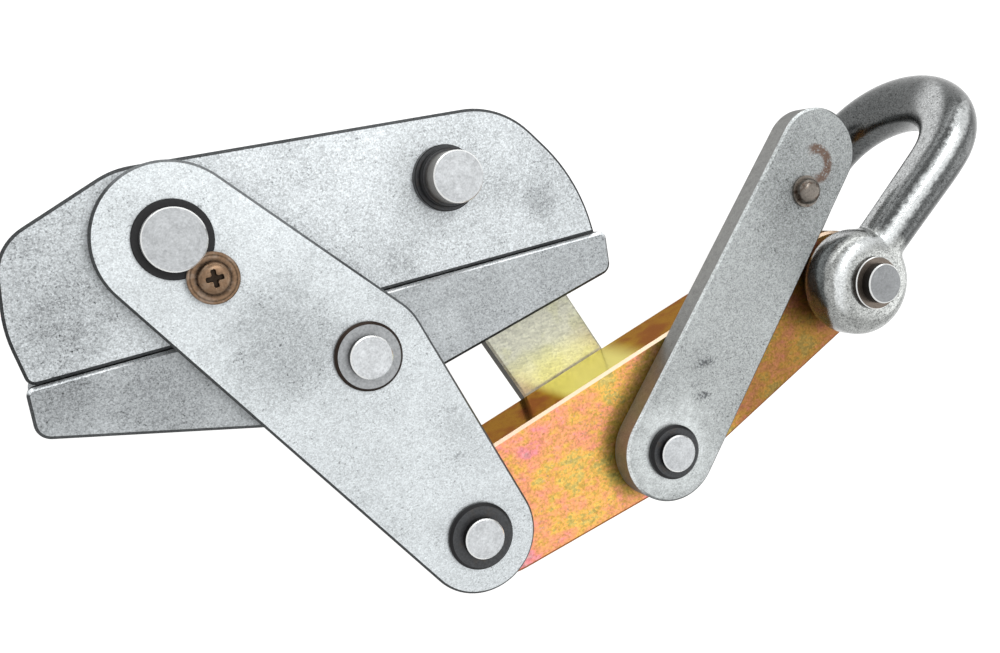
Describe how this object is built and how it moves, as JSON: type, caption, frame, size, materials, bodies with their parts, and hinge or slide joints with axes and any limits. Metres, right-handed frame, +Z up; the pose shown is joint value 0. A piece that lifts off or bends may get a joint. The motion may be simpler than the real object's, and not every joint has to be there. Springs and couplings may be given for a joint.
{
  "type": "self-gripping clamp",
  "caption": "Self-gripping clamp with a grooved pair of jaws, a link plate, a pull lever, a swinging front arm and a bow shackle.",
  "frame": {"origin": "centre of the conductor groove between the closed jaws, at half the jaws' thickness", "axes": "-X along the groove the way the gripped conductor leaves, so +X runs towards the shackle; +Z up out of the front link plate; the clamp lies on its side"},
  "size_m": [0.3485, 0.1592, 0.0828],
  "materials": {
    "jaw_zinc": "dull zinc",
    "plate_zinc": "light zinc",
    "lever_chromate": "yellow chromate with pink and green tints",
    "link_chromate": "pale cream chromate",
    "galvanised": "glossy galvanised",
    "pin_steel": "turned steel",
    "black_oxide": "black oxide",
    "bronze_passivate": "brown passivated"
  },
  "bodies": {
    "upper": {"upper_jaw": "jaw_zinc", "upper_pin": "pin_steel", "upper_pin_collar": "black_oxide", "upper_pin_ring": "black_oxide"},
    "link": {"front_link": "plate_zinc", "main_pin": "pin_steel", "main_pin_ring": "black_oxide", "keeper_washer": "bronze_passivate", "keeper_screw": "bronze_passivate", "jaw_pin": "pin_steel", "jaw_pin_ring": "pin_steel", "jaw_pin_clip": "black_oxide", "lever_pin": "pin_steel", "lever_pin_ring": "black_oxide", "lever_pin_clip": "black_oxide"},
    "lower": {"lower_jaw": "jaw_zinc", "rear_upper_pin": "pin_steel", "rear_upper_clip": "black_oxide"},
    "lever_group": {"lever": "lever_chromate", "arm_pin": "pin_steel", "arm_pin_ring": "black_oxide", "rear_lower_pin": "pin_steel", "rear_lower_clip": "black_oxide"},
    "rear": {"rear_link": "link_chromate"},
    "arm": {"front_arm": "plate_zinc", "arm_rivet": "bronze_passivate"},
    "bow": {"shackle": "galvanised", "shackle_pin": "pin_steel", "shackle_pin_ring": "black_oxide"}
  },
  "joints": [
    {"name": "link_swing", "type": "hinge", "parent": "upper", "child": "link", "pos_m": [-0.045, 0.0312, 0], "axis": [0, 0, 1], "range_deg": [-25, 0]},
    {"name": "jaw_follow", "type": "hinge", "parent": "link", "child": "lower", "pos_m": [0.002, -0.0175, 0], "axis": [0, 0, 1], "range_deg": [0, 25]},
    {"name": "lever_follow", "type": "hinge", "parent": "link", "child": "lever_group", "pos_m": [0.0237, -0.0852, 0], "axis": [0, 0, 1], "range_deg": [0, 25]},
    {"name": "rear_follow", "type": "hinge", "parent": "lever_group", "child": "rear", "pos_m": [0.0877, -0.0797, 0], "axis": [0, 0, 1], "range_deg": [-25, 0]},
    {"name": "arm_swing", "type": "hinge", "parent": "lever_group", "child": "arm", "pos_m": [0.0971, -0.0793, 0], "axis": [0, 0, 1], "range_deg": [0, 30]},
    {"name": "shackle_swing", "type": "hinge", "parent": "lever_group", "child": "bow", "pos_m": [0.1834, -0.0412, 0], "axis": [0, 0, 1], "range_deg": [-120, 12]}
  ],
  "couplings": [
    {"joint": "jaw_follow", "follows": "link_swing", "ratio": -1},
    {"joint": "lever_follow", "follows": "link_swing", "ratio": -1},
    {"joint": "rear_follow", "follows": "link_swing", "ratio": 1}
  ]
}
